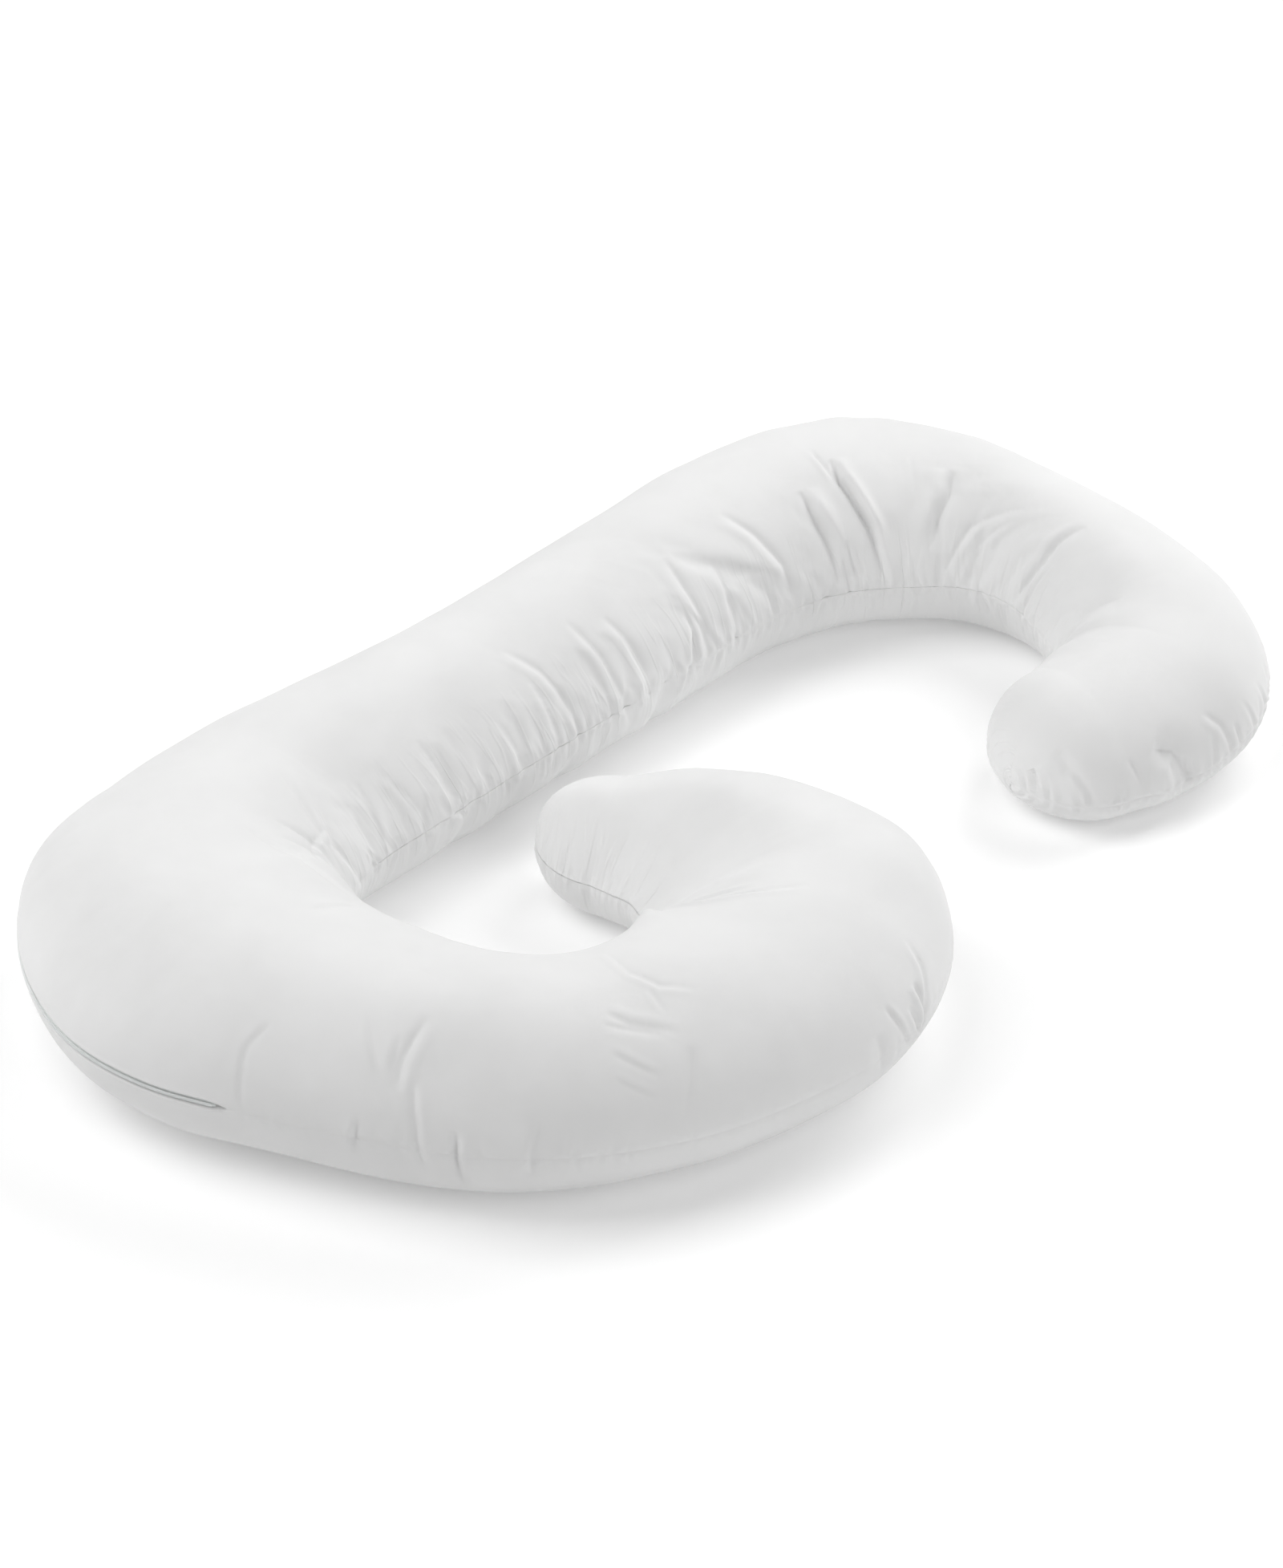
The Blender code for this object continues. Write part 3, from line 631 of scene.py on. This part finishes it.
for name, side, from_row, to_row, apart, depth, length in PUCKERS:
    run, distance = sides[side]
    place, end = np.interp((from_row, to_row), places, run)
    while place < end:
        place += apart / 1000 * dice.uniform(0.5, 1.5)
        width = PUCKER_WIDTH * dice.uniform(0.7, 1.5)
        reach = length / 1000 * dice.uniform(0.4, 1.3)
        drop = depth / 1000 * dice.uniform(0.4, 1.4)
        slant = dice.normal(0, PUCKER_SLANT)
        first, last = np.searchsorted(run, (place - 5 * width - reach / 2, place + 5 * width + reach / 2))
        part = slice(first, max(last, first + 1))
        away = distance[part]
        across = (run[part][:, None] - place - slant * away) / width
        rise = np.clip(away / PUCKER_STARTS, PUCKER_AT_SEAM, 1)
        rise *= np.clip(1 - away / reach, 0, 1) ** PUCKER_FADE
        rim = RIM_HEIGHT * np.exp(-((np.abs(across) - RIM_OFFSET) / RIM_SPREAD) ** 2)
        shape = rim - np.exp(-across**2)
        points[part] += normals[part] * (free[part, :, 0] * shape * rise * drop)[..., None]

# The zip's slot in the outer seam, with a rounded lip of folded cloth above and below it.
ZIP_FROM, ZIP_TO = 13.12, 17.38
ZIP_TAPER = 0.15             # rows over which either end of the slot narrows
SLOT_HALF_HEIGHT = 0.0040
SLOT_DEPTH = 0.0052
SLOT_WALL = 0.0018
LIP_HEIGHT = 0.0009
LIP_WIDTH = 0.0022
END_POWER = 0.6              # below 1, the slot's ends are blunt
DEEPENING = 1.6              # the slot is at its full depth before its full height
inward = (inner_seam - outer_seam) / np.linalg.norm(inner_seam - outer_seam, axis=1)[:, None]
inward = np.column_stack((inward, np.zeros(rings)))
near_end = np.clip((places - ZIP_FROM) / ZIP_TAPER, 0, 1)
far_end = np.clip((ZIP_TO - places) / ZIP_TAPER, 0, 1)
opening = (near_end * far_end) ** END_POWER
half_height = (SLOT_HALF_HEIGHT * opening)[:, None]
wall = np.clip((half_height + SLOT_WALL / 2 - from_outer) / SLOT_WALL, 0, 1)
carve = wall * wall * (3 - 2 * wall) * SLOT_DEPTH * np.clip(opening * DEEPENING, 0, 1)[:, None]
lip = LIP_HEIGHT * opening[:, None] * np.exp(-((from_outer - half_height - LIP_WIDTH) / LIP_WIDTH) ** 2)
drawn = sum(depth * (np.exp(-(from_outer / width) ** 2) * (1 - opening[:, None])
                     + np.exp(-(from_inner / width) ** 2)) for name, depth, width in GROOVE)
points += normals * ((lip - drawn) * fullness[:, None])[..., None]
points += inward[:, None, :] * carve[..., None]
points[..., 2] = np.maximum(points[..., 2], 0)

every = np.vstack((points.reshape(-1, 3), poles))
cloth = bpy.data.meshes.new("pillow_cover")
cloth.from_pydata(every.tolist(), [], grid_faces())
cloth.validate()
cloth.shade_smooth()
pillow = bpy.data.objects.new("pillow_cover", cloth)
bpy.context.scene.collection.objects.link(pillow)

# Each panel carries its own weave, laid out flat: along the pillow's plan, and by the way round it.
UNDER_PANEL_SHIFT = 3.0      # metres that the under panel lies away from the upper one
across = -inward[:, None, :2]
from_crown = walked[:, :-1] - walked[:, CROWN:CROWN + 1]
upper_flat = middle[:, None, :] - across * from_crown[..., None]
under_crown = (walked[:, INNER:INNER + 1] + girth) / 2
under_flat = middle[:, None, :] + across * (walked[:, :-1] - under_crown)[..., None]
under_first = middle[:, None, :] + across * (girth - under_crown)[..., None]
under_flat[:, 0] = under_first[:, 0]
under_flat = under_flat + (0, UNDER_PANEL_SHIFT)
flat = np.stack((upper_flat, under_flat)).reshape(2, -1, 2)
pole_flat = np.stack((poles[:, :2], poles[:, :2] + (0, UNDER_PANEL_SHIFT)))
flat = np.concatenate((flat, pole_flat), axis=1)
corners = np.empty(len(cloth.loops), int)
cloth.loops.foreach_get("vertex_index", corners)
sizes = np.empty(len(cloth.polygons), int)
cloth.polygons.foreach_get("loop_total", sizes)
starts = np.concatenate(([0], np.cumsum(sizes)[:-1]))
column_of = np.where(corners < rings * columns, corners % columns, -1)
under = np.maximum.reduceat(np.where(column_of > INNER, 1, 0), starts)
panel = np.repeat(under, sizes)
layout = cloth.uv_layers.new(name="cut")
layout.data.foreach_set("uv", flat[panel, corners].ravel())

# A second layout runs along the nearer seam and away from it. The outer seam gathers the cloth less than
# the inner one does, so its puckers fade sooner.
OUTER_FADES = 2.0
OUTER_FADED = 0.085
from_outer_side = OUTER_FADED + OUTER_FADES * from_outer
inner_side = from_inner < from_outer
along_seam = np.where(inner_side, run_inner[:, None], run_outer[:, None] + 10)
off_seam = np.where(inner_side, from_inner, from_outer_side)
seam_flat = np.stack((along_seam, off_seam), axis=2).reshape(-1, 2)
seam_flat = np.vstack((seam_flat, (0, 1), (0, 1)))
seam_layout = cloth.uv_layers.new(name="seam")
seam_layout.data.foreach_set("uv", seam_flat[corners].ravel())

# Plain-woven cotton: white, dull, a faint weave and the small soft wrinkles of washed cloth.
THREADS_PER_UNIT = 620.0     # wave scale: a thread every half millimetre
WEAVE_RELIEF = 0.00005
FLUFF_RELIEF = 0.0004
GATHER_SCALE = (55.0, 7.0, 1.0)      # short along the seam, long away from it
GATHER_THINNESS = 0.07
GATHER_REACH = (0.015, 0.110)
GATHER_RELIEF = 0.00045
WRINKLE_SCALE, SLUB_SCALE, TINT_SCALE = 38.0, 420.0, 9.0     # patterns to the metre
COTTON_LIGHT, COTTON_DARK = (0.790, 0.790, 0.788, 1), (0.752, 0.752, 0.750, 1)
COTTON_DARK_AT, COTTON_LIGHT_AT = 0.30, 0.62
COTTON_ROUGHNESS = (0.78, 0.92)
COTTON_GLINT = 0.25
COTTON_SHEEN, COTTON_SHEEN_ROUGHNESS = 0.08, 0.6


def add_node(tree, kind, **settings):
    node = tree.nodes.new(kind)
    for name, value in settings.items():
        if name in node.inputs:
            node.inputs[name].default_value = value
        else:
            setattr(node, name, value)
    return node


def join_nodes(tree, *joints):
    """Links each output to its input."""
    for source, target in joints:
        tree.links.new(source, target)


cotton = bpy.data.materials.new("white cotton")
cotton.use_nodes = True
tree = cotton.node_tree
shader = tree.nodes["Principled BSDF"]
shader.inputs["Specular IOR Level"].default_value = COTTON_GLINT
shader.inputs["Sheen Weight"].default_value = COTTON_SHEEN
shader.inputs["Sheen Roughness"].default_value = COTTON_SHEEN_ROUGHNESS
cut = add_node(tree, "ShaderNodeUVMap", uv_map="cut")
warp = add_node(tree, "ShaderNodeTexWave", Scale=THREADS_PER_UNIT, Distortion=1.5, bands_direction="X")
warp.inputs["Detail Scale"].default_value = 1.5
weft = add_node(tree, "ShaderNodeTexWave", Scale=THREADS_PER_UNIT, Distortion=1.5, bands_direction="Y")
weft.inputs["Detail Scale"].default_value = 1.5
weave = add_node(tree, "ShaderNodeMath", operation="ADD")
place = add_node(tree, "ShaderNodeTexCoord")
wrinkles = add_node(tree, "ShaderNodeTexNoise", Scale=WRINKLE_SCALE, Detail=4.0, Roughness=0.55,
                    Distortion=0.8)
slubs = add_node(tree, "ShaderNodeTexNoise", Scale=SLUB_SCALE, Detail=2.0, Roughness=0.6)
tint = add_node(tree, "ShaderNodeTexNoise", Scale=TINT_SCALE, Detail=3.0)
beside = add_node(tree, "ShaderNodeUVMap", uv_map="seam")
stretch = add_node(tree, "ShaderNodeMapping")
stretch.inputs["Scale"].default_value = GATHER_SCALE
gathers = add_node(tree, "ShaderNodeTexNoise", Scale=1.0, Detail=2.0, Roughness=0.5, Distortion=0.3)
middle_line = add_node(tree, "ShaderNodeMath", operation="SUBTRACT")
middle_line.inputs[1].default_value = 0.5
fold_line = add_node(tree, "ShaderNodeMath", operation="ABSOLUTE")
thin = add_node(tree, "ShaderNodeMapRange", interpolation_type="SMOOTHSTEP")
thin.inputs["From Max"].default_value = GATHER_THINNESS
apart = add_node(tree, "ShaderNodeSeparateXYZ")
fade = add_node(tree, "ShaderNodeMapRange", interpolation_type="SMOOTHSTEP")
fade.inputs["From Min"].default_value, fade.inputs["From Max"].default_value = GATHER_REACH
fade.inputs["To Min"].default_value, fade.inputs["To Max"].default_value = 1, 0
gathered = add_node(tree, "ShaderNodeMath", operation="MULTIPLY")
gather_bump = add_node(tree, "ShaderNodeBump", Strength=1.0, Distance=GATHER_RELIEF)
shades = add_node(tree, "ShaderNodeValToRGB")
darkest, lightest = shades.color_ramp.elements
darkest.position, darkest.color = COTTON_DARK_AT, COTTON_DARK
lightest.position, lightest.color = COTTON_LIGHT_AT, COTTON_LIGHT
dullness = add_node(tree, "ShaderNodeMapRange")
dullness.inputs["To Min"].default_value, dullness.inputs["To Max"].default_value = COTTON_ROUGHNESS
soft_bump = add_node(tree, "ShaderNodeBump", Strength=1.0, Distance=FLUFF_RELIEF)
thread_bump = add_node(tree, "ShaderNodeBump", Strength=1.0, Distance=WEAVE_RELIEF)
join_nodes(
    tree,
    (cut.outputs["UV"], warp.inputs["Vector"]), (cut.outputs["UV"], weft.inputs["Vector"]),
    (warp.outputs["Fac"], weave.inputs[0]), (weft.outputs["Fac"], weave.inputs[1]),
    (place.outputs["Object"], wrinkles.inputs["Vector"]),
    (place.outputs["Object"], slubs.inputs["Vector"]),
    (place.outputs["Object"], tint.inputs["Vector"]),
    (tint.outputs["Fac"], shades.inputs["Fac"]),
    (shades.outputs["Color"], shader.inputs["Base Color"]),
    (slubs.outputs["Fac"], dullness.inputs["Value"]),
    (dullness.outputs["Result"], shader.inputs["Roughness"]),
    (wrinkles.outputs["Fac"], soft_bump.inputs["Height"]),
    (weave.outputs["Value"], thread_bump.inputs["Height"]),
    (beside.outputs["UV"], stretch.inputs["Vector"]),
    (stretch.outputs["Vector"], gathers.inputs["Vector"]),
    (gathers.outputs["Fac"], middle_line.inputs[0]),
    (middle_line.outputs["Value"], fold_line.inputs[0]),
    (fold_line.outputs["Value"], thin.inputs["Value"]),
    (beside.outputs["UV"], apart.inputs["Vector"]),
    (apart.outputs["Y"], fade.inputs["Value"]),
    (thin.outputs["Result"], gathered.inputs[0]),
    (fade.outputs["Result"], gathered.inputs[1]),
    (gathered.outputs["Value"], gather_bump.inputs["Height"]),
    (soft_bump.outputs["Normal"], gather_bump.inputs["Normal"]),
    (gather_bump.outputs["Normal"], thread_bump.inputs["Normal"]),
    (thread_bump.outputs["Normal"], shader.inputs["Normal"]))
cloth.materials.append(cotton)

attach(pillow, "root")
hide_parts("pillow")


# ---------------------------------------------------------------- zip tapes
# Two woven polyester tapes, one sewn to each panel, lie side by side at the bottom of the slot. Each is a
# close ribbed weave in a pale grey green, with its ribs running along the zip.
# Painted light: both rib colours are lifted nearly to white, well above the tapes' own pale grey green, to
# make up for the shade at the bottom of the slot.
TAPE_LIGHT_PAINTED_LIT, TAPE_DARK_PAINTED_LIT = (0.92, 0.94, 0.93, 1), (0.84, 0.87, 0.86, 1)
TAPE_RIBS = 450.0            # wave scale along the height of the tape
TAPE_GRAIN = 900.0
TAPE_ROUGHNESS = (0.65, 0.85)
TAPE_GLINT = 0.3
TAPE_RELIEF = 0.0001
tape = bpy.data.materials.new("zip tape weave")
tape.use_nodes = True
tree = tape.node_tree
shader = tree.nodes["Principled BSDF"]
shader.inputs["Specular IOR Level"].default_value = TAPE_GLINT
place = add_node(tree, "ShaderNodeTexCoord")
ribs = add_node(tree, "ShaderNodeTexWave", Scale=TAPE_RIBS, Distortion=0.4, bands_direction="Z")
grain = add_node(tree, "ShaderNodeTexNoise", Scale=TAPE_GRAIN, Detail=2.0)
shades = add_node(tree, "ShaderNodeValToRGB")
shades.color_ramp.elements[0].color, shades.color_ramp.elements[1].color = TAPE_DARK_PAINTED_LIT, TAPE_LIGHT_PAINTED_LIT
dullness = add_node(tree, "ShaderNodeMapRange")
dullness.inputs["To Min"].default_value, dullness.inputs["To Max"].default_value = TAPE_ROUGHNESS
bump = add_node(tree, "ShaderNodeBump", Strength=1.0, Distance=TAPE_RELIEF)
join_nodes(
    tree,
    (place.outputs["Object"], ribs.inputs["Vector"]),
    (place.outputs["Object"], grain.inputs["Vector"]),
    (ribs.outputs["Fac"], shades.inputs["Fac"]),
    (shades.outputs["Color"], shader.inputs["Base Color"]),
    (grain.outputs["Fac"], dullness.inputs["Value"]),
    (dullness.outputs["Result"], shader.inputs["Roughness"]),
    (ribs.outputs["Fac"], bump.inputs["Height"]),
    (bump.outputs["Normal"], shader.inputs["Normal"]))
for node in ("zip_tape_upper", "zip_tape_lower"):
    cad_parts[node].material_slots[0].material = tape


# ---------------------------------------------------------------- zip coil
# The closed coil: two rows of nylon loops, one from each tape, that lock into each other along the middle
# of the slot. Every loop is a small rounded bar that slants across the zip.
COIL_FROM, COIL_TO = 13.27, 17.23
COIL_DEPTH = 0.0003
LOOP_PITCH = 0.00130
LOOP_LENGTH = 0.0025
LOOP_WIDTH = 0.0011
LOOP_THICKNESS = 0.0012
LOOP_SLANT = 14.0
LOOP_ROUNDING = 0.0003
LOOP_OFFSET = 0.0009         # from the middle of the zip to the middle of a loop
RAIL_STEP = 0.004
# Painted light: the nylon's colours are lifted nearly to white, above its own pale grey green, so that the
# coil shows as a bright line in the shaded slot.
COIL_DARK_PAINTED_LIT, COIL_LIGHT_PAINTED_LIT = (0.90, 0.93, 0.92, 1), (0.95, 0.96, 0.96, 1)
COIL_ROUGHNESS = (0.34, 0.48)
COIL_GLINT = 0.5
COIL_MOTTLE = 260.0
coil_line = smooth[:, 0] + inward * COIL_DEPTH
coil_from, coil_to = np.interp((COIL_FROM, COIL_TO), places, run_outer)
stops = np.arange(coil_from, coil_to, RAIL_STEP)
route = np.column_stack([np.interp(stops, run_outer, coil_line[:, axis]) for axis in range(3)])
route_length = np.linalg.norm(np.diff(route, axis=0), axis=1).sum()

bpy.ops.object.select_all(action="DESELECT")
bpy.ops.mesh.primitive_cylinder_add(vertices=6, radius=0.5, depth=1, rotation=(0, math.pi / 2, math.pi / 2),
                                    location=(0, 0, 0))
coil = bpy.context.object
coil.name = "zip_coil_loops"
bpy.ops.object.transform_apply(location=True, rotation=True, scale=True)
bpy.ops.object.mode_set(mode="EDIT")
bpy.ops.mesh.select_all(action="SELECT")
bpy.ops.transform.resize(value=(LOOP_WIDTH, LOOP_LENGTH, LOOP_THICKNESS))
bpy.ops.object.mode_set(mode="OBJECT")
for face in coil.data.polygons:
    face.select = abs(face.normal.y) > 0.9
bpy.ops.object.mode_set(mode="EDIT")
bpy.ops.mesh.select_mode(type="FACE")
bpy.ops.mesh.bevel(offset=LOOP_ROUNDING, segments=1, affect="EDGES")
bpy.ops.mesh.select_all(action="SELECT")
bpy.ops.transform.rotate(value=math.radians(LOOP_SLANT), orient_axis="Z", center_override=(0, 0, 0))
bpy.ops.transform.translate(value=(0, LOOP_OFFSET, 0))
bpy.ops.mesh.duplicate()
bpy.ops.transform.translate(value=(LOOP_PITCH / 2, -2 * LOOP_OFFSET, 0))
bpy.ops.object.mode_set(mode="OBJECT")
row = coil.modifiers.new("one row", "ARRAY")
row.count = int(route_length / LOOP_PITCH)
row.use_relative_offset = False
row.use_constant_offset = True
row.constant_offset_displace = (LOOP_PITCH, 0, 0)
bpy.ops.object.modifier_apply(modifier=row.name)

rail = bpy.data.curves.new("zip line", "CURVE")
rail.dimensions = "3D"
rail.twist_mode = "Z_UP"
line = rail.splines.new("POLY")
line.points.add(len(route) - 1)
for point, spot in zip(line.points, route):
    point.co = (*spot, 1)
rail_object = bpy.data.objects.new("zip line", rail)
bpy.context.scene.collection.objects.link(rail_object)
bpy.ops.object.mode_set(mode="EDIT")
bpy.ops.mesh.select_all(action="SELECT")
bpy.ops.transform.rotate(value=math.radians(90), orient_axis="X", center_override=(0, 0, 0))
bpy.ops.object.mode_set(mode="OBJECT")
bend = coil.modifiers.new("along the seam", "CURVE")
bend.object = rail_object
bend.deform_axis = "POS_X"
bpy.ops.object.modifier_apply(modifier=bend.name)
bpy.data.objects.remove(rail_object, do_unlink=True)
bpy.ops.object.shade_smooth()

nylon = bpy.data.materials.new("zip coil nylon")
nylon.use_nodes = True
tree = nylon.node_tree
shader = tree.nodes["Principled BSDF"]
shader.inputs["Specular IOR Level"].default_value = COIL_GLINT
place = add_node(tree, "ShaderNodeTexCoord")
mottle = add_node(tree, "ShaderNodeTexNoise", Scale=COIL_MOTTLE, Detail=2.0)
shades = add_node(tree, "ShaderNodeValToRGB")
shades.color_ramp.elements[0].color, shades.color_ramp.elements[1].color = COIL_DARK_PAINTED_LIT, COIL_LIGHT_PAINTED_LIT
gloss = add_node(tree, "ShaderNodeMapRange")
gloss.inputs["To Min"].default_value, gloss.inputs["To Max"].default_value = COIL_ROUGHNESS
join_nodes(
    tree,
    (place.outputs["Object"], mottle.inputs["Vector"]),
    (mottle.outputs["Fac"], shades.inputs["Fac"]),
    (shades.outputs["Color"], shader.inputs["Base Color"]),
    (mottle.outputs["Fac"], gloss.inputs["Value"]),
    (gloss.outputs["Result"], shader.inputs["Roughness"]))
coil.data.materials.clear()
coil.data.materials.append(nylon)
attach(coil, "root")
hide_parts("zip_coil")
